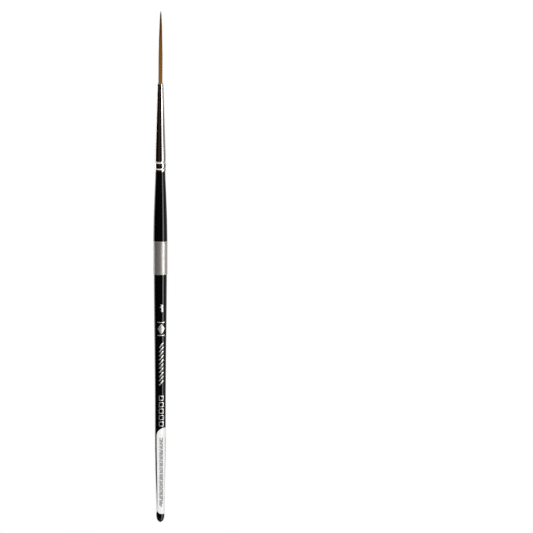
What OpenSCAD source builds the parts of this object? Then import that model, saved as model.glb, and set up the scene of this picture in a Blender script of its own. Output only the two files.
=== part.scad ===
// Fine detail brush: a size 1 liner with a lacquered handle, a double-crimped
// ferrule and a long pointed tuft. Lengths are in millimetres. Heights run from the
// butt of the handle up the axis, and the brush is then moved down so that the
// middle of its silver band is the origin. The front of the brush faces -Y.

/* [Overall] */
// Length from the butt of the handle to the tip of the hair
brush_length = 190; // [188:0.5:192]
// Length of hair beyond the mouth of the ferrule
hair_out = 27; // [25:0.5:29]
// Length of the ferrule
ferrule_length = 32.5; // [31:0.5:34]

/* [Handle] */
// Length of the rounded butt
butt_length = 2.5; // [1.5:0.1:2.5]
// Height of the lower edge of the silver band
band_start = 92.3; // [91.5:0.1:93]
// Length of the silver band
band_length = 12.3; // [12:0.1:13]
// Radius of the silver band
band_radius = 2.6; // [2.59:0.01:2.7]
// Thickness of the lacquer coat
coat = 0.12; // [0.08:0.01:0.16]
// Length of the tenon inside the ferrule
tenon_length = 13; // [10:0.5:14]
// Thickness of the glue round the tenon
glue = 0.05; // [0.04:0.01:0.08]

/* [Ferrule] */
// Outer radius of the barrel of the ferrule
barrel_radius = 1.96; // [1.94:0.01:2]
// Outer radius of the ferrule at its mouth
mouth_radius = 1.1; // [1.05:0.01:1.15]
// Wall thickness of the ferrule
wall = 0.28; // [0.24:0.01:0.3]
// Height of the straight barrel above the end of the ferrule
barrel_length = 5.8; // [5.6:0.1:7]
// How far the beads stand out of the barrel
bead_height = 0.09; // [0.05:0.01:0.12]
// How deep the crimp grooves go
groove_depth = 0.09; // [0.05:0.01:0.1]

/* [Tuft] */
// Radius of the tuft at the mouth of the ferrule
tuft_radius = 0.73; // [0.7:0.01:0.75]
// Number of rings of filaments round the middle one
rings = 6; // [6:6]
// Length of hair held inside the ferrule
hair_in = 15.5; // [14:0.5:16]
// Radius of the thread that binds the roots
thread_radius = 0.09; // [0.07:0.01:0.1]
// Turns of the binding thread
thread_turns = 4; // [2:1:5]

/* [Label and foil] */
// Length of the paper label along the handle
label_length = 32.2; // [25:0.1:32.4]
// Width of the paper label before it is wrapped
label_width = 9.5; // [6:0.1:9.6]
// Radius of the two upper corners of the label
label_corner = 3.2; // [1:0.1:4]
// Radius of the two lower corners of the label
label_foot_corner = 1.5; // [1:0.1:2]
// Thickness of the paper
paper = 0.1; // [0.08:0.01:0.12]
// Thickness of the foil marks
foil = 0.03; // [0.02:0.01:0.04]

/* [Hidden] */
$fn = 64;

ferrule_start = brush_length - hair_out - ferrule_length;
mouth_height = brush_length - hair_out;
barrel_end = ferrule_start + barrel_length;
band_end = band_start + band_length;
band_middle = band_start + band_length / 2;
tenon_end = ferrule_start + tenon_length;
root_height = mouth_height - hair_in;
bore_radius = barrel_radius - wall;
mouth_bore = mouth_radius - wall;
tail_step = 0.2;
nose_step = 0.02;
lip = 0.05;

// [height, radius] of the lacquered handle behind and in front of the band
tail_stations = [
    [butt_length, 1.5], [8, 1.56], [14, 1.63], [20, 1.78], [27, 1.94], [35, 1.98],
    [46, 2.0], [62, 2.12], [78, 2.3], [band_start, band_radius - tail_step]
];
nose_stations = [
    [band_end, band_radius - nose_step], [109, 2.53], [113.5, 2.44], [118, 2.28],
    [122.5, 2.12], [127, 1.92], [ferrule_start, 1.82]
];
outline_step = 3.2;

// [height above the end of the ferrule, half length] of the beads and the grooves
beads = [[0.45, 0.55], [2.2, 1.15]];
grooves = [[1.0, 0.35], [3.4, 0.4]];
crimp_end = 4.4;
crimp_step = 0.2;

// Roots: where the resin starts and ends, and the pocket that the thread lies in
resin_start = root_height - 1.5;
resin_end = root_height + 8.5;
thread_height = root_height + 2;
thread_pitch = 2.3 * thread_radius;
hair_clearance = 0.04;

// Filaments: spacing of the rings, thickness, and where the tuft starts to narrow
ring_pitch = (tuft_radius - 0.046) / rings;
filament_radius = 0.4 * ring_pitch;
narrow_from = 0.61;
point_power = 0.45;
ring_shortfall = 0.05;
tip_end = 0.004;
taper_steps = 5;
filament_sides = 6;

// Label and foil: angles are measured from the front, towards +X
label_start = 3.2;
label_edge_angle = -41;
paper_gap = 0.06;
foil_gap = 0.03;
label_columns = 20;
corner_steps = 9;
label_rows = 8;
facet = 0.4;
mark_offset = 0.38;

// ---- Smooth curve through [x, y] stations ----

function slope(s, i) =
    let (a = max(i - 1, 0), b = min(i + 1, len(s) - 1))
    (s[b][1] - s[a][1]) / (s[b][0] - s[a][0]);

function span(s, x, i = 0) = i >= len(s) - 2 || x <= s[i + 1][0] ? i : span(s, x, i + 1);

function curve(s, x) =
    let (
        i = span(s, x),
        h = s[i + 1][0] - s[i][0],
        u = (x - s[i][0]) / h
    )
    (2 * u ^ 3 - 3 * u ^ 2 + 1) * s[i][1] + (u ^ 3 - 2 * u ^ 2 + u) * h * slope(s, i)
    + (3 * u ^ 2 - 2 * u ^ 3) * s[i + 1][1] + (u ^ 3 - u ^ 2) * h * slope(s, i + 1);

// [radius, height] points along a run of stations, moved in by inset
function outline(s, inset) =
    let (
        first = s[0][0],
        last = s[len(s) - 1][0],
        steps = ceil((last - first) / outline_step)
    )
    [for (i = [0 : steps]) let (z = first + (last - first) * i / steps) [curve(s, z) - inset, z]];

function handle_radius(z) =
    z < butt_length ? tail_stations[0][1]
    : z <= band_start ? curve(tail_stations, z)
    : z < band_end ? band_radius
    : curve(nose_stations, min(z, ferrule_start));

// Rounded butt, moved in by inset
function butt_outline(inset) =
    [for (a = [0 : 15 : 75])
        [(tail_stations[0][1] - inset) * sin(a), butt_length - (butt_length - inset) * cos(a)]];

function reversed(list) = [for (i = [len(list) - 1 : -1 : 0]) list[i]];

// ---- Ferrule outline ----

function bump(x) = abs(x) >= 1 ? 0 : (1 + cos(180 * x)) / 2;

function sum_bumps(list, z, i = 0) =
    i == len(list) ? 0 : max(bump((z - list[i][0]) / list[i][1]), sum_bumps(list, z, i + 1));

// Outer and inner radius of the crimped end at height z above its end face
function crimp_outer(z) =
    barrel_radius + bead_height * sum_bumps(beads, z)
    - (groove_depth + bead_height) * sum_bumps(grooves, z);

function crimp_inner(z) = bore_radius - groove_depth * sum_bumps(grooves, z);

function bore_at(z) =
    z <= barrel_end ? bore_radius
    : bore_radius + (mouth_bore - bore_radius) * (z - barrel_end) / (mouth_height - barrel_end);

function crimp_outline() = [for (z = [0 : crimp_step : crimp_end]) [crimp_outer(z), ferrule_start + z]];

function crimp_bore(inset) =
    [for (z = [0 : crimp_step : crimp_end]) [crimp_inner(z) - inset, ferrule_start + z]];

// The bore up to the end of the tenon, moved in by inset
function tenon_outline(inset) =
    concat(
        crimp_bore(inset),
        [[bore_radius - inset, barrel_end], [bore_at(tenon_end) - inset, tenon_end]]
    );

// ---- Building blocks ----

module placed() translate([0, 0, -band_middle]) children();

module turned(points) placed() rotate_extrude() polygon(points);

// A closed solid through equal rings of points, capped at both ends
module lofted(sections) {
    n = len(sections[0]);
    last = len(sections) - 1;
    sides = [
        for (i = [0 : last - 1], j = [0 : n - 1])
            let (a = i * n + j, b = i * n + (j + 1) % n, c = b + n, d = a + n)
            each [[a, d, b], [b, d, c]]
    ];
    bottom = [for (j = [1 : n - 2]) [0, j, j + 1]];
    top = [for (j = [1 : n - 2]) [last * n, last * n + j + 1, last * n + j]];
    polyhedron(points = [for (s = sections) each s], faces = concat(sides, bottom, top));
}

// A point on the handle: s along the surface from the front, z up, lift out of it
function on_handle(s, z, lift) =
    let (
        r = handle_radius(z),
        angle = s / r * 180 / PI
    )
    [(r + lift) * sin(angle), -(r + lift) * cos(angle), z];

// A thin sheet laid on the handle. rows is a list of [z, left s, right s].
module sheet_on_handle(rows, columns, gap, thickness) {
    sections = [
        for (row = rows)
            concat(
                [for (i = [0 : columns])
                    on_handle(row[1] + (row[2] - row[1]) * i / columns, row[0], gap)],
                [for (i = [columns : -1 : 0])
                    on_handle(row[1] + (row[2] - row[1]) * i / columns, row[0], gap + thickness)]
            )
    ];
    placed() strip_solid(sections, columns);
}

// Skins a stack of strips, each an inner run of points and the outer run back
module strip_solid(sections, columns) {
    n = 2 * columns + 2;
    last = len(sections) - 1;
    sides = [
        for (i = [0 : last - 1], j = [0 : n - 1])
            let (a = i * n + j, b = i * n + (j + 1) % n, c = b + n, d = a + n)
            each [[a, d, b], [b, d, c]]
    ];
    caps = [
        for (end = [0, last], j = [0 : columns - 1])
            let (
                k = end * n,
                a = k + j,
                b = k + j + 1,
                c = k + n - 2 - j,
                d = k + n - 1 - j
            )
            each end == 0 ? [[a, b, c], [a, c, d]] : [[a, c, b], [a, d, c]]
    ];
    polyhedron(points = [for (s = sections) each s], faces = concat(sides, caps));
}

// A four-sided foil patch with a level foot and a level head
module foil_patch(z0, left0, right0, z1, left1, right1) {
    slant = max(abs(left1 - left0), abs(right1 - right0));
    steps = max(1, ceil((z1 - z0) / 3), ceil(slant / facet));
    columns = ceil(max(right0 - left0, right1 - left1) / facet);
    sheet_on_handle(
        [for (i = [0 : steps]) let (t = i / steps)
            [z0 + (z1 - z0) * t, left0 + (left1 - left0) * t, right0 + (right1 - right0) * t]],
        columns, foil_gap, foil
    );
}

module foil_bar(z0, z1, left, right) foil_patch(z0, left, right, z1, left, right);

// ---- Handle ----

module handle_core() color("burlywood") turned(concat(
    butt_outline(coat),
    outline(tail_stations, coat),
    outline(nose_stations, coat),
    tenon_outline(glue),
    [[0, tenon_end]]
));

module front_lacquer() color("black") turned(concat(
    outline(nose_stations, 0),
    reversed(outline(nose_stations, coat))
));

module silver_band() color("silver") turned([
    [band_radius, band_start],
    [band_radius, band_end],
    [band_radius - nose_step - coat, band_end],
    [band_radius - tail_step - coat, band_start]
]);

module rear_lacquer() color("black") turned(concat(
    butt_outline(0),
    outline(tail_stations, 0),
    reversed(outline(tail_stations, coat)),
    reversed(butt_outline(coat))
));

// ---- Ferrule and roots ----

module tenon_glue() color("tan") turned(concat(
    tenon_outline(0),
    reversed(tenon_outline(glue))
));

module ferrule() color("gainsboro") turned(concat(
    crimp_outline(),
    [
        [barrel_radius, barrel_end],
        [mouth_radius, mouth_height - lip],
        [mouth_radius - lip, mouth_height],
        [mouth_bore, mouth_height],
        [bore_radius, barrel_end]
    ],
    reversed(crimp_bore(0))
));

module root_resin() {
    hair_space = tuft_radius + hair_clearance;
    pocket = hair_space + 2 * thread_radius + 2 * hair_clearance;
    pocket_low = thread_height - thread_radius - hair_clearance;
    pocket_high = thread_height + thread_turns * thread_pitch + thread_radius + hair_clearance;
    color("goldenrod") turned([
        [0, resin_start],
        [bore_at(resin_start), resin_start],
        [bore_at(resin_end), resin_end],
        [hair_space, resin_end],
        [hair_space, pocket_high],
        [pocket, pocket_high],
        [pocket, pocket_low],
        [hair_space, pocket_low],
        [hair_space, root_height - hair_clearance],
        [0, root_height - hair_clearance]
    ]);
}

// Thread wound round the roots as a helix
module binding_thread() {
    steps = 16;
    coil_radius = tuft_radius + 2 * hair_clearance + thread_radius;
    sections = [
        for (i = [0 : steps * thread_turns]) let (turn = 360 * i / steps)
            [for (k = [0 : 5]) let (
                    r = coil_radius + thread_radius * cos(60 * k),
                    rise = thread_pitch * i / steps + thread_radius * sin(60 * k)
                )
                [r * cos(turn), r * sin(turn), thread_height + rise]]
    ];
    color("ivory") placed() lofted([for (s = sections) reversed(s)]);
}

// ---- Tuft ----

// Radius of the tuft, as a fraction of its full radius, at t = distance from the tip
function fullness(t) = min(1, (t / narrow_from) ^ point_power);

// Heights of one filament's rings: straight from the root, then closer and closer
function filament_heights(end) = concat(
    [1 + hair_in / hair_out],
    [for (i = [0 : taper_steps]) end + (narrow_from - end) * (1 - i / taper_steps) ^ 1.7]
);

module filament(ring, angle) {
    end = tip_end + ring_shortfall * max(ring - 1, 0);
    x = ring * ring_pitch * cos(angle);
    y = ring * ring_pitch * sin(angle);
    sections = [
        for (t = filament_heights(end)) let (f = fullness(t))
            [for (k = [0 : filament_sides - 1])
                let (a = 360 * k / filament_sides)
                [
                    f * (x + filament_radius * cos(a)),
                    f * (y + filament_radius * sin(a)),
                    brush_length - (t - tip_end) * hair_out
                ]]
    ];
    placed() lofted(sections);
}

module filament_ring(ring) color(ring > 4 ? "peru" : "sienna")
    for (j = [0 : 6 * ring - 1]) filament(ring, 360 * (j + (ring % 2) / 2) / (6 * ring));

module filament_core() {
    color("saddlebrown") filament(0, 0);
    filament_ring(1);
}

// ---- Foil marks ----

// The size number, upright: stem and flag
module size_mark() color("silver") {
    stem = 0.68;
    low = 78.5;
    high = 81.3;
    flag_reach = 0.62;
    flag_drop = 1.35;
    flag_tip = 0.1;
    flag_top = 0.25;
    left = mark_offset;
    foil_bar(low, high, left, left + stem);
    foil_patch(high - flag_drop, left - flag_reach, left, high - flag_top, left - flag_tip, left);
}

// A plain ornament: a lozenge between two bars
module maker_mark() color("silver") {
    low = 69.6;
    high = 74.8;
    middle = (low + high) / 2;
    half = 1.45;
    point = 0.12;
    bar = 0.35;
    foil_bar(low, low + bar, mark_offset - half, mark_offset + half);
    foil_bar(high - bar, high, mark_offset - half, mark_offset + half);
    foil_patch(low + 2 * bar, mark_offset - point, mark_offset + point,
        middle, mark_offset - half, mark_offset + half);
    foil_patch(middle, mark_offset - half, mark_offset + half,
        high - 2 * bar, mark_offset - point, mark_offset + point);
}

// A plain row of slanted strokes along the handle
module name_line() color("silver") {
    low = 51.2;
    pitch = 1.55;
    rise = 1.9;
    stroke = 0.55;
    left = mark_offset - 1;
    right = mark_offset + 1;
    for (i = [0 : 9]) let (z = low + i * pitch)
        foil_patch(z, left, left + stroke, z + rise, right - stroke, right);
}

// A plain row of open frames along the handle
module series_line() color("silver") {
    low = 35.9;
    pitch = 2.4;
    size = 1.8;
    line = 0.26;
    for (i = [0 : 4]) {
        z = low + i * pitch;
        foil_bar(z, z + line, mark_offset - size / 2, mark_offset + size / 2);
        foil_bar(z + size - line, z + size, mark_offset - size / 2, mark_offset + size / 2);
        for (side = [-1, 1]) let (edge = mark_offset + side * (size - line) / 2)
            foil_bar(z + line, z + size - line, edge - line / 2, edge + line / 2);
    }
}

// ---- Label ----

// Left edge of the label, along the surface from the front, at height z
function label_left(z) = label_edge_angle * PI / 180 * handle_radius(z);

// How far a corner of radius r draws the edge in, at distance d from the label's end
function corner_inset(d, r) = d >= r ? 0 : r - sqrt(r ^ 2 - (r - d) ^ 2);

// Distances from the label's end at which a corner of radius r has its rows
function corner_rows(r) = [for (i = [0 : corner_steps]) r * (1 - cos(90 * i / corner_steps))];

module label() {
    straight = label_length - label_corner - label_foot_corner;
    ends = concat(
        corner_rows(label_foot_corner),
        [for (i = [1 : label_rows - 1]) label_foot_corner + straight * i / label_rows],
        [for (d = reversed(corner_rows(label_corner))) label_length - d]
    );
    rows = [
        for (d = ends)
            let (
                z = label_start + d,
                inset = corner_inset(d, label_foot_corner) + corner_inset(label_length - d, label_corner)
            )
            [z, label_left(z) + inset, label_left(z) + label_width - inset]
    ];
    color("white") sheet_on_handle(rows, label_columns, paper_gap, paper);
}

// Short plain dashes in two columns, in place of the small print
module label_print() color("dimgray") {
    dash = 1.9;
    pitch = 2.7;
    margin = 2.3;
    lift = 1.5 * paper_gap + paper;
    // [middle, half width] of the columns, along the surface from the front
    columns = [[0.42, 0.7], [2.5, 0.3]];
    for (column = columns, i = [0 : 9]) let (z = label_start + margin + pitch * i)
        sheet_on_handle(
            [for (h = [z, z + dash]) [h, column[0] - column[1], column[0] + column[1]]],
            4, lift, foil
        );
}

handle_core();
front_lacquer();
silver_band();
rear_lacquer();
tenon_glue();
ferrule();
root_resin();
binding_thread();
filament_core();
filament_ring(2);  // filament_ring_2
filament_ring(3);  // filament_ring_3
filament_ring(4);  // filament_ring_4
filament_ring(5);  // filament_ring_5
filament_ring(6);  // filament_ring_6
size_mark();
maker_mark();
name_line();
series_line();
label();
label_print();
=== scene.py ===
"""Fine detail brush: the looks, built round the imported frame.

Lengths are in metres. Heights are along Z, which runs up the brush from butt to tip.
"""
import math
import random

import bpy
import numpy as np
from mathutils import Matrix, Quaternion, Vector

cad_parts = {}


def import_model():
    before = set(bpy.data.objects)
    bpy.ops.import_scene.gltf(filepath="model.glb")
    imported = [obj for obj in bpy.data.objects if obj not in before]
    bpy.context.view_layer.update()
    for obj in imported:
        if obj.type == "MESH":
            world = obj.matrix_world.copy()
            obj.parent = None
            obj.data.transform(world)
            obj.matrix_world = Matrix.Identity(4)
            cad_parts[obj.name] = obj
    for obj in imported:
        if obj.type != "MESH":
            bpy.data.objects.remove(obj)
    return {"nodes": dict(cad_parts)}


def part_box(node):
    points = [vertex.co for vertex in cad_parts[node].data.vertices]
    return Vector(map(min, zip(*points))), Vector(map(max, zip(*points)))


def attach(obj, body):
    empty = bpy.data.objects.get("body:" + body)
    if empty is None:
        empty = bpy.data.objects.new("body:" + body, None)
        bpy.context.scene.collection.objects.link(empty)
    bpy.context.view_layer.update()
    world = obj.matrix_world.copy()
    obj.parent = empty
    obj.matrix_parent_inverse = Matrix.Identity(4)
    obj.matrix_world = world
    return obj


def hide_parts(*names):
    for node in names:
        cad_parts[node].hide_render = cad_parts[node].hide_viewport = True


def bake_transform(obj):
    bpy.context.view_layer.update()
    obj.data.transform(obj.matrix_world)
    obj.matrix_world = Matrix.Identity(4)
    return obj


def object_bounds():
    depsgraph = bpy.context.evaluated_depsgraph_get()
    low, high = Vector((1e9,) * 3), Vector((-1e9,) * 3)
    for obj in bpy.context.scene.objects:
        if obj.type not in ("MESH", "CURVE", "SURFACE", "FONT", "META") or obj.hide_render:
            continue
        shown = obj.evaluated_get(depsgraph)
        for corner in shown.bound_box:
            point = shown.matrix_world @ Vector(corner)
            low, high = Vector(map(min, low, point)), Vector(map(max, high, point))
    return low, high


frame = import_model()
cad_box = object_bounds()
nodes = frame["nodes"]
MM = 0.001

# ---- Places that come from the frame ----

BUTT = cad_box[0].z
TIP = cad_box[1].z
LENGTH = TIP - BUTT
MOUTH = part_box("ferrule")[1].z
FERRULE_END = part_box("ferrule")[0].z
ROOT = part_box("filament_core")[0].z
HAIR_OUT = TIP - MOUTH
TUFT_RADIUS = 0.73 * MM


def smoothstep(x):
    x = min(max(x, 0.0), 1.0)
    return x * x * (3 - 2 * x)


# ---- Outlines of the turned parts ----

def outline_of(node, side):
    """(radius, z) points of a turned CAD node's outer (side 1) or inner (side -1) surface, upwards."""
    mesh = nodes[node].data
    found = {}
    for face in mesh.polygons:
        centre = face.center
        radial = Vector((centre.x, centre.y, 0)).normalized()
        if face.normal.dot(radial) * side < 0.1:
            continue
        for i in face.vertices:
            co = mesh.vertices[i].co
            z = round(co.z, 6)
            found.setdefault(z, []).append(math.hypot(co.x, co.y))
    return [(max(rs) if side > 0 else min(rs), z) for z, rs in sorted(found.items())]


def thinned(points, least):
    """The same points without those closer than least to the one before; the ends stay."""
    kept = [points[0]]
    for p in points[1:-1]:
        if math.dist(p, kept[-1]) >= least:
            kept.append(p)
    return kept + [points[-1]]


def smoothed(points, step):
    """A Catmull-Rom curve through the points, with a new point about every step."""
    out = []
    last = len(points) - 1
    for i in range(last):
        before = points[max(i - 1, 0)]
        a = points[i]
        b = points[i + 1]
        after = points[min(i + 2, last)]
        count = max(1, math.ceil(math.dist(a, b) / step))
        for k in range(count):
            t = k / count
            out.append(tuple(
                0.5 * (2 * a[c] + (b[c] - before[c]) * t
                       + (2 * before[c] - 5 * a[c] + 4 * b[c] - after[c]) * t ** 2
                       + (3 * a[c] - before[c] - 3 * b[c] + after[c]) * t ** 3)
                for c in (0, 1)))
    return out + [points[last]]


def radius_at(points, z):
    """Radius of an outline at height z, straight between its points."""
    for (r0, z0), (r1, z1) in zip(points, points[1:]):
        if z0 <= z <= z1:
            return r0 + (r1 - r0) * (z - z0) / max(z1 - z0, 1e-12)
    return points[0][0] if z < points[0][1] else points[-1][0]


# ---- Mesh making ----

ON_AXIS = 1e-7


def mesh_object(name, verts, faces, sharp=35):
    """A new smooth-shaded mesh object, with edges over sharp degrees kept sharp."""
    mesh = bpy.data.meshes.new(name)
    mesh.from_pydata([tuple(v) for v in verts], [], [tuple(f) for f in faces])
    mesh.validate()
    mesh.polygons.foreach_set("use_smooth", [True] * len(mesh.polygons))
    mesh.set_sharp_from_angle(angle=math.radians(sharp))
    mesh.update()
    obj = bpy.data.objects.new(name, mesh)
    bpy.context.scene.collection.objects.link(obj)
    return obj


def lathe(name, outline, segments, shape=None):
    """Turns a closed outline of (radius, z) points. shape(r, z, angle) may press the surface in or out."""
    verts = []
    rings = []
    for r, z in outline:
        if r < ON_AXIS:
            rings.append([len(verts)] * segments)
            verts.append((0, 0, z))
            continue
        rings.append(list(range(len(verts), len(verts) + segments)))
        for k in range(segments):
            angle = 2 * math.pi * k / segments
            here = shape(r, z, angle) if shape else r
            verts.append((here * math.sin(angle), -here * math.cos(angle), z))
    faces = []
    count = len(rings)
    for i in range(count):
        a = rings[i]
        b = rings[(i + 1) % count]
        for k in range(segments):
            j = (k + 1) % segments
            quad = [a[k], a[j], b[j], b[k]]
            face = [v for n, v in enumerate(quad) if v not in quad[:n]]
            if len(face) > 2:
                faces.append(face)
    return mesh_object(name, verts, faces)


def add_attribute(obj, name, values):
    """One number for each vertex, for the material to read."""
    attribute = obj.data.attributes.new(name, "FLOAT", "POINT")
    attribute.data.foreach_set("value", np.asarray(values, np.float32))


def rounded_end(outline, size):
    """Rounds both ends of a shell's outer outline, where it turns to the inner one."""
    (r0, z0), (r1, z1) = outline[0], outline[-1]
    foot = [(r0 - size, z0), (r0 - 0.3 * size, z0 + 0.3 * size)]
    head = [(r1 - 0.3 * size, z1 - 0.3 * size), (r1 - size, z1)]
    middle = [p for p in outline if z0 + size < p[1] < z1 - size]
    return foot + [(r0, z0 + size)] + middle + [(r1, z1 - size)] + head


# ---- Materials ----

class Shader:
    """A small helper that builds one Principled material from nodes."""

    def __init__(self, name, **values):
        self.material = bpy.data.materials.new(name)
        self.material.use_nodes = True
        self.tree = self.material.node_tree
        self.bsdf = self.tree.nodes["Principled BSDF"]
        for key, value in values.items():
            self.bsdf.inputs[key.replace("_", " ")].default_value = value
        self.place = self.node("ShaderNodeTexCoord").outputs["Object"]

    def node(self, kind, **values):
        made = self.tree.nodes.new(kind)
        for key, value in values.items():
            setattr(made, key, value)
        return made

    def link(self, a, b):
        self.tree.links.new(a, b)

    def stretched(self, scale):
        """Object coordinates scaled along X, Y and Z."""
        mapping = self.node("ShaderNodeMapping")
        mapping.inputs["Scale"].default_value = scale
        self.link(self.place, mapping.inputs["Vector"])
        return mapping.outputs["Vector"]

    def noise(self, scale, detail=4, roughness=0.55, stretch=(1, 1, 1)):
        made = self.node("ShaderNodeTexNoise")
        made.inputs["Scale"].default_value = scale
        made.inputs["Detail"].default_value = detail
        made.inputs["Roughness"].default_value = roughness
        self.link(self.stretched(stretch), made.inputs["Vector"])
        return made.outputs["Fac"]

    def voronoi(self, scale):
        made = self.node("ShaderNodeTexVoronoi")
        made.inputs["Scale"].default_value = scale
        self.link(self.stretched((1, 1, 1)), made.inputs["Vector"])
        return made.outputs["Distance"]

    def attribute(self, name):
        return self.node("ShaderNodeAttribute", attribute_name=name).outputs["Fac"]

    def ramp(self, value, stops):
        made = self.node("ShaderNodeValToRGB")
        points = made.color_ramp.elements
        while len(points) < len(stops):
            points.new(0.5)
        for point, (at, color) in zip(points, stops):
            point.position = at
            point.color = (*color, 1)
        self.link(value, made.inputs["Fac"])
        return made.outputs["Color"]

    def range(self, value, low, high, to_low, to_high):
        made = self.node("ShaderNodeMapRange")
        numbers = {"From Min": low, "From Max": high, "To Min": to_low, "To Max": to_high}
        for key, number in numbers.items():
            made.inputs[key].default_value = number
        self.link(value, made.inputs["Value"])
        return made.outputs["Result"]

    def math(self, kind, a, b):
        made = self.node("ShaderNodeMath", operation=kind)
        for socket, value in zip(made.inputs, (a, b)):
            if isinstance(value, (int, float)):
                socket.default_value = value
            else:
                self.link(value, socket)
        return made.outputs["Value"]

    def mix(self, factor, a, b):
        made = self.node("ShaderNodeMix", data_type="RGBA")
        self.link(factor, made.inputs[0])
        for socket, value in ((made.inputs[6], a), (made.inputs[7], b)):
            if isinstance(value, tuple):
                socket.default_value = (*value, 1)
            else:
                self.link(value, socket)
        return made.outputs[2]

    def color(self, output):
        self.link(output, self.bsdf.inputs["Base Color"])

    def roughness(self, output):
        self.link(output, self.bsdf.inputs["Roughness"])

    def bump(self, height, strength, distance, on=None):
        made = self.node("ShaderNodeBump")
        made.inputs["Strength"].default_value = strength
        made.inputs["Distance"].default_value = distance
        self.link(height, made.inputs["Height"])
        if on:
            self.link(on, made.inputs["Normal"])
        self.link(made.outputs["Normal"], self.bsdf.inputs["Normal"])
        return made.outputs["Normal"]


def lacquer():
    """Black nitro lacquer: deep gloss, faint orange peel, hairline scratches and a little dust."""
    s = Shader("black_lacquer", Specular_IOR_Level=0.5)
    scratches = s.noise(900, 2, stretch=(9, 9, 0.5))
    s.roughness(s.range(scratches, 0.3, 0.75, 0.07, 0.16))
    s.color(s.ramp(s.noise(5200, 2), [(0.0, (0.0007, 0.0007, 0.0008)), (0.74, (0.001, 0.001, 0.0011)),
                                      (0.84, (0.012, 0.012, 0.012))]))
    peel = s.bump(s.noise(420, 2), 0.08, 0.02 * MM)
    s.bump(scratches, 0.04, 0.004 * MM, peel)
    return s.material


def silver_paint():
    """Satin silver paint with fine metal flake and handling marks."""
    s = Shader("silver_paint", Metallic=0.9)
    flake = s.voronoi(9000)
    cloud = s.noise(300, 3)
    tone = s.mix(s.range(flake, 0.1, 0.7, 0, 1), (0.66, 0.635, 0.61), (0.54, 0.515, 0.49))
    s.color(s.mix(s.range(cloud, 0.3, 0.7, 0, 0.25), tone, (0.48, 0.45, 0.42)))
    s.roughness(s.range(cloud, 0.3, 0.7, 0.40, 0.49))
    grain = s.bump(flake, 0.35, 0.012 * MM)
    s.bump(s.noise(1500, 2, stretch=(1, 1, 0.25)), 0.12, 0.01 * MM, grain)
    return s.material


def nickel():
    """Bright nickel plating on drawn brass: long polishing lines, and a warm tint and a little more
    roughness in cloudy patches.
    """
    s = Shader("nickel_plating", Metallic=1.0)
    lines = s.noise(1500, 3, stretch=(5, 5, 0.15))
    cloud = s.noise(260, 3)
    s.color(s.mix(s.range(cloud, 0.35, 0.7, 0, 0.5), (0.76, 0.74, 0.705), (0.66, 0.63, 0.58)))
    s.roughness(s.math("ADD", s.range(lines, 0.3, 0.7, 0.07, 0.15), s.range(cloud, 0.4, 0.75, 0, 0.06)))
    s.bump(lines, 0.05, 0.002 * MM)
    return s.material


def foil():
    """Hot-stamped silver foil: slightly brushed, thin and worn in places."""
    s = Shader("silver_foil", Metallic=0.95)
    wear = s.noise(2600, 5, 0.7)
    s.color(s.ramp(wear, [(0.0, (0.30, 0.285, 0.27)), (0.36, (0.52, 0.50, 0.48)), (0.5, (0.84, 0.82, 0.79)),
                          (1.0, (0.90, 0.88, 0.86))]))
    s.roughness(s.range(wear, 0.3, 0.6, 0.62, 0.42))
    s.bump(wear, 0.25, 0.01 * MM)
    return s.material


def paper():
    """Coated white label paper with faint fibres."""
    s = Shader("label_paper", Specular_IOR_Level=0.4)
    fibre = s.noise(2200, 6, 0.7, stretch=(1, 1, 0.35))
    cloud = s.noise(190, 3)
    s.color(s.mix(s.range(cloud, 0.3, 0.7, 0, 1), (0.91, 0.905, 0.895), (0.87, 0.865, 0.855)))
    s.roughness(s.range(fibre, 0.3, 0.7, 0.38, 0.6))
    s.bump(fibre, 0.18, 0.012 * MM)
    return s.material


def ink():
    """Grey printing ink, uneven where the paper took less of it."""
    s = Shader("label_ink")
    spread = s.noise(3500, 5, 0.7)
    s.color(s.ramp(spread, [(0.3, (0.05, 0.05, 0.055)), (0.52, (0.09, 0.09, 0.095)),
                            (0.7, (0.24, 0.24, 0.24))]))
    s.roughness(s.range(spread, 0.3, 0.7, 0.45, 0.7))
    s.bump(spread, 0.1, 0.004 * MM)
    return s.material


def hair():
    """Golden filaments that darken to red brown at the point.

    The attribute tone is one number for each filament, and along runs from 0 at the tip to 1 at the mouth.
    """
    s = Shader("golden_filament", Specular_IOR_Level=0.12)
    along = s.attribute("along")
    tone = s.attribute("tone")
    fleck = s.noise(2500, 2, stretch=(3, 3, 0.06))
    body = s.ramp(along, [(0.0, (0.022, 0.006, 0.001)), (0.14, (0.045, 0.012, 0.001)),
                          (0.32, (0.125, 0.043, 0.004)), (0.55, (0.29, 0.120, 0.011)),
                          (1.0, (0.33, 0.140, 0.013))])
    dark = s.mix(s.range(tone, 0, 1, 0.0, 0.6), body, (0.09, 0.029, 0.002))
    s.color(s.mix(s.range(fleck, 0.45, 0.75, 0, 0.35), dark, (0.42, 0.21, 0.035)))
    s.roughness(s.range(fleck, 0.3, 0.7, 0.32, 0.46))
    s.bump(fleck, 0.1, 0.004 * MM)
    return s.material


def wood():
    """Close-grained hardwood, turned: growth lines along the handle and short pores."""
    s = Shader("birch_wood")
    grain = s.noise(700, 5, 0.6, stretch=(1, 1, 0.05))
    pore = s.noise(3000, 3, stretch=(2, 2, 0.12))
    tone = s.ramp(grain, [(0.3, (0.42, 0.25, 0.12)), (0.5, (0.62, 0.43, 0.24)), (0.75, (0.74, 0.56, 0.35))])
    s.color(s.mix(s.range(pore, 0.58, 0.75, 0, 0.6), tone, (0.25, 0.14, 0.07)))
    s.roughness(s.range(grain, 0.3, 0.7, 0.5, 0.68))
    s.bump(pore, 0.2, 0.02 * MM)
    return s.material


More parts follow.
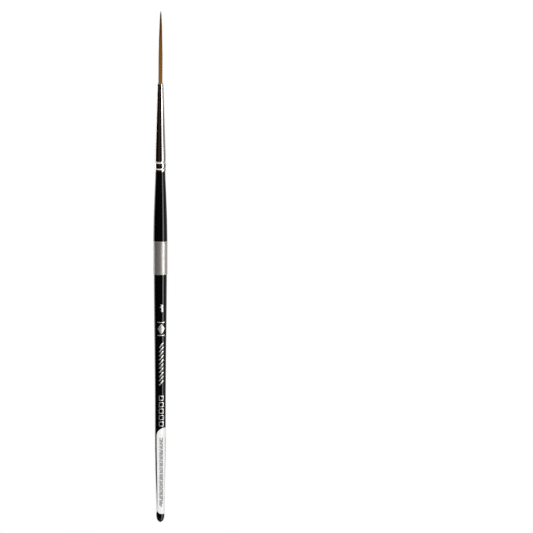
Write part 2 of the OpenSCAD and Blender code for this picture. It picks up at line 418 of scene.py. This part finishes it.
def glue():
    """Set wood glue, amber and uneven."""
    s = Shader("amber_glue", Roughness=0.35)
    cloud = s.noise(1400, 4)
    s.color(s.ramp(cloud, [(0.3, (0.50, 0.33, 0.12)), (0.7, (0.72, 0.55, 0.28))]))
    s.bump(cloud, 0.2, 0.02 * MM)
    return s.material


def resin():
    """Set resin round the roots, clear brown with small bubbles."""
    s = Shader("root_resin_brown", Roughness=0.15)
    bubble = s.voronoi(2600)
    s.color(s.ramp(bubble, [(0.05, (0.62, 0.40, 0.16)), (0.25, (0.33, 0.16, 0.045)),
                            (0.8, (0.26, 0.12, 0.03))]))
    s.bump(bubble, 0.25, 0.03 * MM)
    return s.material


def thread():
    """Twisted cotton thread."""
    s = Shader("cotton_thread", Roughness=0.8)
    twist = s.noise(5200, 3, stretch=(1, 1, 2.5))
    s.color(s.ramp(twist, [(0.3, (0.55, 0.47, 0.33)), (0.6, (0.83, 0.77, 0.64))]))
    s.bump(twist, 0.5, 0.03 * MM)
    return s.material


def dress(obj, material, body, slot, *replaced):
    """Gives a new piece its material and body, and hides the CAD nodes that it stands for. Its slot argument
    is not used.
    """
    obj.data.materials.clear()
    obj.data.materials.append(material)
    if body:
        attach(obj, body)
    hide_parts(*replaced)


def repaint(node, material):
    nodes[node].data.materials.clear()
    nodes[node].data.materials.append(material)


# ---- Handle ----

LEAST_GAP = 0.2 * MM
HANDLE_STEP = 0.6 * MM
HANDLE_SEGMENTS = 128
REAR = smoothed(thinned(outline_of("rear_lacquer", 1), LEAST_GAP), HANDLE_STEP)
NOSE = smoothed(thinned(outline_of("front_lacquer", 1), LEAST_GAP), HANDLE_STEP)
BAND_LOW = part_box("silver_band")[0].z
BAND_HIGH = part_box("silver_band")[1].z
BAND_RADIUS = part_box("silver_band")[1].x
# The lacquer's edges: drawn back a little under the band, rounded at the ferrule and in front of the band
REAR_EDGE = 0.01 * MM
NOSE_EDGE = 0.04 * MM
# The paint of the band: how far its flat, its brim and its two feet lie inside its widest line
BAND_EDGE = 0.25 * MM
BAND_FLAT = 0.008 * MM
BAND_BRIM = 0.02 * MM
BAND_BRIM_HEIGHT = 0.03 * MM
BAND_LOW_FOOT = 0.055 * MM
BAND_HIGH_FOOT = 0.035 * MM
BAND_ROWS = 24
BLACK = lacquer()


def handle_radius(z):
    """Radius of the lacquered handle at height z."""
    return radius_at(REAR, z) if z <= BAND_LOW else radius_at(NOSE, z)


def rear_lacquer():
    outer = REAR[:-1] + [(REAR[-1][0] - REAR_EDGE, REAR[-1][1])]
    inner = outline_of("rear_lacquer", -1)
    piece = lathe("lacquer_rear", outer + inner[::-1], HANDLE_SEGMENTS)
    dress(piece, BLACK, "handle", "rear_lacquer", "rear_lacquer")


def front_lacquer():
    inner = outline_of("front_lacquer", -1)
    outer = rounded_end(NOSE, NOSE_EDGE)
    piece = lathe("lacquer_front", outer + inner[::-1], HANDLE_SEGMENTS)
    dress(piece, BLACK, "handle", "front_lacquer", "front_lacquer")


def silver_band():
    """The painted band: the paint stands slightly thicker near its edges, which are rounded."""
    inner = outline_of("silver_band", -1)
    flat = BAND_HIGH - BAND_LOW - 2 * BAND_EDGE
    outer = [(BAND_RADIUS - BAND_LOW_FOOT, BAND_LOW),
             (BAND_RADIUS - BAND_BRIM, BAND_LOW + BAND_BRIM_HEIGHT),
             (BAND_RADIUS, BAND_LOW + BAND_EDGE * 0.5)]
    outer += [(BAND_RADIUS - BAND_FLAT, BAND_LOW + BAND_EDGE + flat * i / BAND_ROWS)
              for i in range(BAND_ROWS + 1)]
    outer += [(BAND_RADIUS, BAND_HIGH - BAND_EDGE * 0.5),
              (BAND_RADIUS - BAND_BRIM, BAND_HIGH - BAND_BRIM_HEIGHT),
              (BAND_RADIUS - BAND_HIGH_FOOT, BAND_HIGH)]
    piece = lathe("band_silver", outer + inner[::-1], HANDLE_SEGMENTS)
    dress(piece, silver_paint(), "handle", "silver_band", "silver_band")


# ---- Ferrule ----

CRIMP_FLATS = 9
CRIMP_TOP = 6 * MM
CRIMP_STEP = 0.12 * MM
CONE_STEP = 0.8 * MM
FERRULE_SEGMENTS = 144
LIP = 0.06 * MM
# (height above the end of the ferrule, half length) of the wide bead, the end ring and the ditch between
BEAD = (2.2 * MM, 1.0 * MM)
RING = (0.45 * MM, 0.45 * MM)
DITCH = (1.0 * MM, 0.35 * MM)
FLAT_DEPTH = 0.05 * MM
BEAD_WAVE = 0.008 * MM
DITCH_FILL = 0.045 * MM
RING_WEAR = 0.012 * MM


def hump(height, place):
    """1 in the middle of a (height, half length) place, falling to 0 at its ends."""
    return max(0.0, 1 - ((height - place[0]) / place[1]) ** 2)


def crimp_shape(r, z, angle):
    """Tool marks: shallow flats round the wide bead, a softer ditch, and a slightly uneven end ring."""
    height = z - FERRULE_END
    flat = 0.5 - 0.5 * math.cos(CRIMP_FLATS * angle + 0.8)
    uneven = math.cos(4 * angle + 1.1) * 0.5 + math.cos(7 * angle + 2.3) * 0.5
    r += hump(height, BEAD) * (BEAD_WAVE * uneven - FLAT_DEPTH * flat ** 3)
    r += hump(height, DITCH) * DITCH_FILL
    return r - hump(height, RING) * RING_WEAR * (2.5 + uneven)


def ferrule():
    outer = outline_of("ferrule", 1)
    inner = outline_of("ferrule", -1)
    crimp = [p for p in outer if p[1] < FERRULE_END + CRIMP_TOP]
    cone = [p for p in outer if p[1] >= FERRULE_END + CRIMP_TOP]
    straight = smoothed([crimp[-1]] + cone[:-1], CONE_STEP)
    bore = inner[-1][0]
    # The mouth is rolled: a rounded rim between the outside and the bore
    middle = (cone[-1][0] + bore) / 2 + LIP / 3
    half = middle - bore
    rim = [(middle + half * math.cos(a), MOUTH - LIP + LIP * math.sin(a))
           for a in (math.radians(d) for d in range(0, 181, 20))]
    body = [p for p in straight if p[1] < MOUTH - 1.5 * LIP]
    outline = smoothed(crimp[:-1], CRIMP_STEP) + body[1:] + rim + inner[-2::-1]
    piece = lathe("ferrule_nickel", outline, FERRULE_SEGMENTS, crimp_shape)
    dress(piece, nickel(), "handle", "ferrule", "ferrule")


# ---- Tuft ----

FILAMENTS = 420
FILAMENT_SIDES = 6
RINGS = 6
FULL_FROM = 0.61
POINT_POWER = 0.45
POINT_LENGTH = 0.03
POINT_LEAN = 0.15 * MM
# The longest filaments begin within the core's share of the radius, the shortest end at t = LAST_END
CORE_SHARE = 0.16
LAST_END = 0.5
ENDING_POWER = 0.6
# Filaments sway, twist and stand in a few shallow clumps. Towards the point they thicken to close the gaps
SWAY = 0.010 * MM
TWIST = 0.16
CLUMPS = 7
CLUMP_DEPTH = 0.045
THICKNESS = 0.91
THICKER_AT_POINT = 0.45
END_THICKNESS = 0.6
END_TAPER = 0.07
THICKEST = 0.045 * MM
FILAMENT_STEPS = 16
# The mouth of the ferrule is at t = 1, and the filaments are gathered from just inside it
GATHERED = 1.02
ROOT_T = 1 + (MOUTH - ROOT) / HAIR_OUT
GOLDEN = math.pi * (3 - math.sqrt(5))


def envelope(t):
    """Radius of the tuft at t, the distance from the tip as a fraction of the hair that shows."""
    t = max(t, 0.0)
    return TUFT_RADIUS * min(1.0, (t / FULL_FROM) ** POINT_POWER) * min(1.0, (t / POINT_LENGTH) ** 0.5)


def lean(t):
    """How far the middle of the tuft stands to the right of the axis at t: the hair isn't quite straight."""
    return POINT_LEAN * max(1 - t, 0.0) ** 1.5


def reach(t):
    """How far out, from 0 to 1, the filaments that are still there at t began."""
    return min(1.0, CORE_SHARE + (1 - CORE_SHARE) * (max(t, 0.0) / LAST_END) ** ENDING_POWER)


def filament_lines():
    """Each filament's share of the radius, its tone, and its rows of x, y, z, half thickness and t."""
    draw = random.Random(11)
    lines = []
    spacing = TUFT_RADIUS / math.sqrt(FILAMENTS)
    for i in range(FILAMENTS):
        share = math.sqrt((i + 0.5) / FILAMENTS)
        angle = i * GOLDEN
        end = LAST_END * (max(share - CORE_SHARE, 0.0) / (1 - CORE_SHARE)) ** (1 / ENDING_POWER)
        end = min(end * draw.uniform(0.75, 1.1) + draw.uniform(0.0, 0.012), LAST_END)
        if share < CORE_SHARE:
            end = draw.uniform(0.0, 0.02)
        phase = draw.uniform(0, 2 * math.pi)
        sway = draw.uniform(0.2, 1.0) * SWAY
        tone = draw.random()
        stations = [ROOT_T, GATHERED]
        stations += [end + (1 - end) * (1 - k / FILAMENT_STEPS) ** 1.25 for k in range(FILAMENT_STEPS + 1)]
        rows = []
        for t in stations:
            full = envelope(t) / TUFT_RADIUS
            out = min(share / reach(t), 1.0) * envelope(t)
            valley = 0.5 - 0.5 * math.cos(CLUMPS * angle + 2.2 * t)
            clump = 1 - CLUMP_DEPTH * smoothstep((GATHERED - t) / 0.1) * valley
            bend = sway * math.sin(5 * t + phase) * smoothstep((1 - t) / 0.15) * full
            turn = angle + TWIST * (1 - t) * math.sin(phase)
            close = 1 + THICKER_AT_POINT * smoothstep((0.4 - t) / 0.3)
            thin = END_THICKNESS + (1 - END_THICKNESS) * smoothstep((t - end) / END_TAPER)
            thick = min(THICKNESS * spacing * close * full / reach(t) * thin, THICKEST)
            x = lean(t) + out * clump * math.sin(turn) + bend * math.cos(phase)
            y = -out * clump * math.cos(turn) + bend * math.sin(phase)
            rows.append((x, y, TIP - t * HAIR_OUT, thick, t))
        lines.append((share, tone, rows))
    return lines


def hair_mesh(name, lines):
    """Tapered filaments. Their shading normals lean outwards with the tuft, so that it looks round."""
    verts = []
    faces = []
    tones = []
    alongs = []
    normals = []
    for _, tone, rows in lines:
        start = len(verts)
        for x, y, z, thick, t in rows:
            for k in range(FILAMENT_SIDES):
                a = 2 * math.pi * k / FILAMENT_SIDES
                verts.append((x + thick * math.cos(a), y + thick * math.sin(a), z))
                own = Vector((math.cos(a), math.sin(a), 0.0))
                outwards = Vector((x - lean(t), y, 0)) / (TUFT_RADIUS * 0.5)
                normals.append((own * 0.6 + outwards).normalized())
                tones.append(tone)
                alongs.append(min(t, 1.0))
        count = len(rows)
        for i in range(count - 1):
            for k in range(FILAMENT_SIDES):
                a = start + i * FILAMENT_SIDES + k
                b = start + i * FILAMENT_SIDES + (k + 1) % FILAMENT_SIDES
                faces.append((a, b, b + FILAMENT_SIDES, a + FILAMENT_SIDES))
        faces.append(tuple(start + k for k in reversed(range(FILAMENT_SIDES))))
        top = start + (count - 1) * FILAMENT_SIDES
        faces.append(tuple(top + k for k in range(FILAMENT_SIDES)))
    obj = mesh_object(name, verts, faces, sharp=80)
    add_attribute(obj, "tone", tones)
    add_attribute(obj, "along", alongs)
    obj.data.normals_split_custom_set_from_vertices(normals)
    return obj


def tuft():
    """The filaments, shared out by their place in the tuft among the CAD's middle group and its rings."""
    material = hair()
    lines = filament_lines()
    widths = RINGS + 0.5
    groups = [("filament_core", 0.0, 1.5 / widths)]
    groups += [(f"filament_ring_{k}", (k - 0.5) / widths, (k + 0.5) / widths) for k in range(2, RINGS + 1)]
    for node, low, high in groups:
        piece = hair_mesh("hair_" + node.replace("filament_", ""), [f for f in lines if low <= f[0] < high])
        dress(piece, material, None, node, node)
        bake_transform(piece)


# ---- Foil marks and label ----

def on_handle(s, z, lift):
    """A point on the handle: s along the surface from the front, towards +X, and lift out of it."""
    r = handle_radius(z)
    angle = s / r
    return ((r + lift) * math.sin(angle), -(r + lift) * math.cos(angle), z)


def sheet_solid(rows, columns, gap, thickness):
    """Vertices and faces of a thin closed sheet on the handle. rows are (z, left s, right s)."""
    verts = []
    for z, left, right in rows:
        across = [left + (right - left) * i / columns for i in range(columns + 1)]
        verts += [on_handle(s, z, gap) for s in across]
        verts += [on_handle(s, z, gap + thickness) for s in reversed(across)]
    n = 2 * columns + 2
    faces = []
    for i in range(len(rows) - 1):
        for j in range(n):
            a = i * n + j
            b = i * n + (j + 1) % n
            faces.append((a, a + n, b + n, b))
    last = (len(rows) - 1) * n
    for j in range(columns):
        faces.append((j, j + 1, n - 2 - j, n - 1 - j))
        faces.append((last + j, last + n - 1 - j, last + n - 2 - j, last + j + 1))
    return verts, faces


def joined(name, solids):
    """One mesh object of several solids, each given as its vertices and faces."""
    verts = []
    faces = []
    for v, f in solids:
        start = len(verts)
        verts += v
        faces += [tuple(i + start for i in face) for face in f]
    return mesh_object(name, verts, faces, sharp=50)


FOIL_GAP = 0.004 * MM
FOIL = 0.02 * MM
FOIL_CORNER = 0.08 * MM
MARK_OFFSET = 0.38 * MM
# A flat mark follows the round handle in facets of this size, and is never narrower than its least width
FACET_ACROSS = 0.15 * MM
FACET_UP = 0.3 * MM
LEAST_WIDTH = 0.02 * MM


def patch(z0, left0, right0, z1, left1, right1, gap=FOIL_GAP, thickness=FOIL, corner=FOIL_CORNER):
    """A four-sided sheet with a level foot and head and slightly rounded corners."""
    across = max(right0 - left0, right1 - left1)
    columns = max(3, math.ceil(across / FACET_ACROSS))
    ease = min(corner, 0.3 * (z1 - z0), 0.3 * across)
    heights = [0, 0.3 * ease, ease]
    steps = max(2, math.ceil((z1 - z0) / FACET_UP))
    inner = [ease + (z1 - z0 - 2 * ease) * i / steps for i in range(1, steps)]
    stations = heights + inner + [z1 - z0 - h for h in reversed(heights)]
    rows = []
    for h in stations:
        t = h / (z1 - z0)
        edge = min(h, z1 - z0 - h)
        inset = ease - math.sqrt(max(ease ** 2 - (ease - edge) ** 2, 0)) if edge < ease else 0
        left = left0 + (left1 - left0) * t + inset
        right = right0 + (right1 - right0) * t - inset
        if right - left <= LEAST_WIDTH:
            middle = (left + right) / 2
            left = middle - LEAST_WIDTH / 2
            right = middle + LEAST_WIDTH / 2
        rows.append((z0 + h, left, right))
    return sheet_solid(rows, columns, gap, thickness)


def bar(z0, z1, left, right, **more):
    return patch(z0, left, right, z1, left, right, **more)


def heights_of(node):
    """The lowest and highest Z of a CAD node."""
    low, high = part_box(node)
    return low.z, high.z


def size_mark(silver):
    """The size number: an upright stem with a slanting flag at its head."""
    low, high = heights_of("size_mark")
    stem = 0.68 * MM
    left = MARK_OFFSET
    flag = patch(high - 1.35 * MM, left - 0.62 * MM, left + 0.02 * MM,
                 high - 0.25 * MM, left - 0.1 * MM, left + 0.02 * MM)
    number = [bar(low, high, left, left + stem), flag]
    dress(joined("foil_size", number), silver, "handle", "size_mark", "size_mark")


def ornament_mark(silver):
    """A lozenge between two bars."""
    low, high = heights_of("maker_mark")
    middle = (low + high) / 2
    half = 1.45 * MM
    line = 0.35 * MM
    point = 0.06 * MM
    ornament = [
        bar(low, low + line, MARK_OFFSET - half, MARK_OFFSET + half),
        bar(high - line, high, MARK_OFFSET - half, MARK_OFFSET + half),
        patch(low + 2 * line, MARK_OFFSET - point, MARK_OFFSET + point,
              middle, MARK_OFFSET - half, MARK_OFFSET + half, corner=0.0),
        patch(middle, MARK_OFFSET - half, MARK_OFFSET + half,
              high - 2 * line, MARK_OFFSET - point, MARK_OFFSET + point, corner=0.0),
    ]
    dress(joined("foil_ornament", ornament), silver, "handle", "maker_mark", "maker_mark")


def stroke_line(silver):
    """A row of slanted strokes."""
    low, high = heights_of("name_line")
    strokes = 10
    rise = 1.9 * MM
    stroke = 0.55 * MM
    pitch = (high - low - rise) / (strokes - 1)
    left = MARK_OFFSET - 1.0 * MM
    right = MARK_OFFSET + 1.0 * MM
    line_one = [patch(low + i * pitch, left, left + stroke, low + i * pitch + rise, right - stroke, right)
                for i in range(strokes)]
    dress(joined("foil_line_one", line_one), silver, "handle", "name_line", "name_line")


def frame_line(silver):
    """A row of open square frames."""
    low, high = heights_of("series_line")
    frames = 5
    size = 1.8 * MM
    line = 0.26 * MM
    tuck = 0.8 * line
    pitch = (high - low - size) / (frames - 1)
    left = MARK_OFFSET - size / 2
    right = MARK_OFFSET + size / 2
    line_two = []
    for i in range(frames):
        z = low + i * pitch
        line_two += [bar(z, z + line, left, right),
                     bar(z + size - line, z + size, left, right),
                     bar(z + tuck, z + size - tuck, left, left + line),
                     bar(z + tuck, z + size - tuck, right - line, right)]
    dress(joined("foil_line_two", line_two), silver, "handle", "series_line", "series_line")


LABEL_LOW, LABEL_HIGH = heights_of("label")
LABEL_EDGE = math.radians(-41)
LABEL_WIDTH = 9.5 * MM
LABEL_CORNER = 3.2 * MM
LABEL_FOOT_CORNER = 1.5 * MM
LABEL_CORNER_STEPS = 20
LABEL_ROWS = 40
LABEL_COLUMNS = 64
LABEL_GAP = 0.008 * MM
LABEL_PAPER = 0.075 * MM
INK_GAP = 0.001 * MM
INK = 0.004 * MM
INK_CORNER = 0.05 * MM
PRINT_HEIGHT = 0.30 * MM
PRINT_PITCH = 0.42 * MM
SHORTEST_SPACE = 1.2 * MM
# (middle of the column along the surface, places of its lines)
PRINT_COLUMNS = ((0.32 * MM, (-1, 0, 1)), (2.5 * MM, (0,)))


def corner_inset(d, r):
    """How far a corner of radius r draws the label's edge in, at distance d from the label's end."""
    return r - math.sqrt(max(r ** 2 - (r - d) ** 2, 0)) if d < r else 0


def label():
    """The wrapped paper: a sheet with rounded corners, larger at its head than at its foot."""
    length = LABEL_HIGH - LABEL_LOW
    turn = [1 - math.cos(math.pi / 2 * i / LABEL_CORNER_STEPS) for i in range(LABEL_CORNER_STEPS + 1)]
    straight = length - LABEL_CORNER - LABEL_FOOT_CORNER
    stations = [LABEL_FOOT_CORNER * a for a in turn]
    stations += [LABEL_FOOT_CORNER + straight * i / LABEL_ROWS for i in range(1, LABEL_ROWS)]
    stations += [length - LABEL_CORNER * a for a in reversed(turn)]
    rows = []
    for d in stations:
        inset = corner_inset(d, LABEL_FOOT_CORNER) + corner_inset(length - d, LABEL_CORNER)
        z = LABEL_LOW + d
        left = LABEL_EDGE * handle_radius(z)
        rows.append((z, left + inset, left + LABEL_WIDTH - inset))
    piece = joined("label_paper", [sheet_solid(rows, LABEL_COLUMNS, LABEL_GAP, LABEL_PAPER)])
    dress(piece, paper(), "handle", "label", "label")


def label_print():
    """Plain bars of uneven length for the small print: three lines in a wide column, one in a narrow."""
    draw = random.Random(5)
    low, high = heights_of("label_print")
    lift = LABEL_GAP + LABEL_PAPER + INK_GAP
    solids = []
    for column, lines in PRINT_COLUMNS:
        for line in lines:
            centre = column + line * PRINT_PITCH
            z = low + draw.uniform(0, 1.5) * MM
            while z < high - SHORTEST_SPACE:
                run = min(draw.uniform(0.6, 2.6) * MM, high - z)
                solids.append(bar(z, z + run, centre - PRINT_HEIGHT / 2, centre + PRINT_HEIGHT / 2,
                                  gap=lift, thickness=INK, corner=INK_CORNER))
                z += run + draw.uniform(0.18, 0.34) * MM
    dress(joined("label_bars", solids), ink(), "handle", "label_print", "label_print")


# ---- Stage, light and camera ----

VIEW_WIDTH = 1.0345 * LENGTH
BRUSH_LEFT = 0.2060 * LENGTH
CENTRE_UP = 0.0010 * LENGTH
ELEVATION = math.radians(7)
ROLL = math.radians(0.07)
LENS = 900
SENSOR = 36
FLOOR_DROP = 30 * MM
FLOOR_SIDE = 30


def stage():
    """A plain floor below the brush, larger than any view of it."""
    z = BUTT - FLOOR_DROP
    corners = [(-FLOOR_SIDE, -FLOOR_SIDE, z), (FLOOR_SIDE, -FLOOR_SIDE, z),
               (FLOOR_SIDE, FLOOR_SIDE, z), (-FLOOR_SIDE, FLOOR_SIDE, z)]
    mesh = bpy.data.meshes.new("floor")
    mesh.from_pydata(corners, [], [(0, 1, 2, 3)])
    floor = bpy.data.objects.new("floor", mesh)
    bpy.context.scene.collection.objects.link(floor)
    # Plain white light of its own and nothing reflected, so that the edges of the brush aren't washed out
    s = Shader("white_floor", Base_Color=(0, 0, 0, 1), Roughness=1.0, Specular_IOR_Level=0.0,
               Emission_Color=(1, 1, 1, 1), Emission_Strength=1.0)
    mesh.materials.append(s.material)
    floor.visible_glossy = False
    floor.visible_shadow = False


def world():
    """White to the eye. Reflections show a dark room, a darker and a lighter flat, a ceiling and a floor."""
    made = bpy.data.worlds.new("studio")
    bpy.context.scene.world = made
    made.use_nodes = True
    tree = made.node_tree
    tree.nodes.clear()
    out = tree.nodes.new("ShaderNodeOutputWorld")
    place = tree.nodes.new("ShaderNodeTexCoord")
    split = tree.nodes.new("ShaderNodeSeparateXYZ")
    tree.links.new(place.outputs["Generated"], split.inputs["Vector"])
    x, y, z = (split.outputs[c] for c in "XYZ")

    def op(kind, a, b):
        node = tree.nodes.new("ShaderNodeMath")
        node.operation = kind
        for socket, value in zip(node.inputs, (a, b)):
            if isinstance(value, (int, float)):
                socket.default_value = value
            else:
                tree.links.new(value, socket)
        return node.outputs["Value"]

    def step(value, low, high, from_value=0.0, to_value=1.0):
        node = tree.nodes.new("ShaderNodeMapRange")
        node.interpolation_type = "SMOOTHSTEP"
        numbers = {"From Min": low, "From Max": high, "To Min": from_value, "To Max": to_value}
        for key, number in numbers.items():
            node.inputs[key].default_value = number
        tree.links.new(value, node.inputs["Value"])
        return node.outputs["Result"]

    def mix(factor, a, b):
        node = tree.nodes.new("ShaderNodeMix")
        node.data_type = "RGBA"
        tree.links.new(factor, node.inputs[0])
        for socket, value in ((node.inputs[6], a), (node.inputs[7], b)):
            if isinstance(value, tuple):
                socket.default_value = (*value, 1)
            else:
                tree.links.new(value, socket)
        return node.outputs[2]

    # The warm part of the room lies in front of the brush, a little to the left of the camera
    facing = op("ADD", op("MULTIPLY", x, -0.42), op("MULTIPLY", y, -0.91))
    room = mix(step(facing, 0.87, 0.99), (0.003, 0.0025, 0.002), (0.042, 0.024, 0.016))
    # The flats stand behind the brush with a dark gap between them, so that its edges stay dark
    flat_colour = mix(step(x, -0.2, 0.2), (0.26, 0.25, 0.24), (0.62, 0.61, 0.58))
    flats = op("MULTIPLY", step(y, 0.30, 0.62), step(y, 0.80, 0.93, 1.0, 0.0))
    sides = mix(flats, room, flat_colour)
    # Only surfaces that lean upwards or downwards reflect the ceiling and the floor
    floored = mix(step(z, -0.85, -0.5, 1.0, 0.0), sides, (0.32, 0.315, 0.30))
    seen = mix(step(z, 0.30, 0.62), floored, (1.1, 1.1, 1.08))
    path = tree.nodes.new("ShaderNodeLightPath")
    ambient = mix(path.outputs["Is Diffuse Ray"], seen, (0.26, 0.26, 0.26))
    colour = mix(path.outputs["Is Camera Ray"], ambient, (1.0, 1.0, 1.0))
    back = tree.nodes.new("ShaderNodeBackground")
    back.inputs["Strength"].default_value = 1.0
    tree.links.new(colour, back.inputs["Color"])
    tree.links.new(back.outputs["Background"], out.inputs["Surface"])


def softbox(name, azimuth, distance, width, height, radiance, rise=0.0, glossy=True, diffuse=True):
    """An area light at an azimuth from the front of the brush, towards +X, that faces the brush."""
    data = bpy.data.lights.new(name, "AREA")
    data.shape = "RECTANGLE"
    data.size = width
    data.size_y = height
    data.energy = radiance * math.pi * width * height
    light = bpy.data.objects.new(name, data)
    bpy.context.scene.collection.objects.link(light)
    a = math.radians(azimuth)
    light.location = (distance * math.sin(a), -distance * math.cos(a), rise)
    light.rotation_mode = "QUATERNION"
    light.rotation_quaternion = (-light.location).to_track_quat("-Z", "Y")
    light.visible_camera = False
    light.visible_glossy = glossy
    light.visible_diffuse = diffuse


def lights():
    """Three tall softboxes that only glossy surfaces show, and soft light for everything else."""
    softbox("key", 52, 0.8, 0.35, 3.2, 3.9, diffuse=False)
    softbox("side", 98, 0.9, 0.60, 3.2, 0.24, diffuse=False)
    softbox("kicker", -133, 0.9, 0.28, 3.2, 2.2, diffuse=False)
    softbox("front", 8, 1.2, 0.7, 1.6, 2.4, rise=0.3, glossy=False)
    softbox("rear", 172, 1.2, 0.9, 1.6, 1.3, rise=0.3, glossy=False)


def camera():
    """A long lens a little above the brush, which stands left of the middle of the picture."""
    data = bpy.data.cameras.new("camera")
    data.lens = LENS
    data.sensor_width = SENSOR
    data.clip_end = 100
    cam = bpy.data.objects.new("camera", data)
    bpy.context.scene.collection.objects.link(cam)
    target = Vector((BRUSH_LEFT, 0, (BUTT + TIP) / 2 + CENTRE_UP))
    distance = VIEW_WIDTH / SENSOR * LENS
    back = Vector((0, -math.cos(ELEVATION), math.sin(ELEVATION)))
    cam.location = target + back * distance
    cam.rotation_mode = "QUATERNION"
    cam.rotation_quaternion = (-back).to_track_quat("-Z", "Y") @ Quaternion((0, 0, 1), ROLL)
    bpy.context.scene.camera = cam


def colours_as_made():
    view = bpy.context.scene.view_settings
    view.view_transform = "Standard"
    view.look = "None"
    view.exposure = 0
    view.gamma = 1


repaint("handle_core", wood())
repaint("tenon_glue", glue())
repaint("root_resin", resin())
repaint("binding_thread", thread())
rear_lacquer()
front_lacquer()
silver_band()
ferrule()
tuft()
silver = foil()
size_mark(silver)
ornament_mark(silver)
stroke_line(silver)
frame_line(silver)
label()
label_print()
stage()
world()
lights()
camera()
colours_as_made()
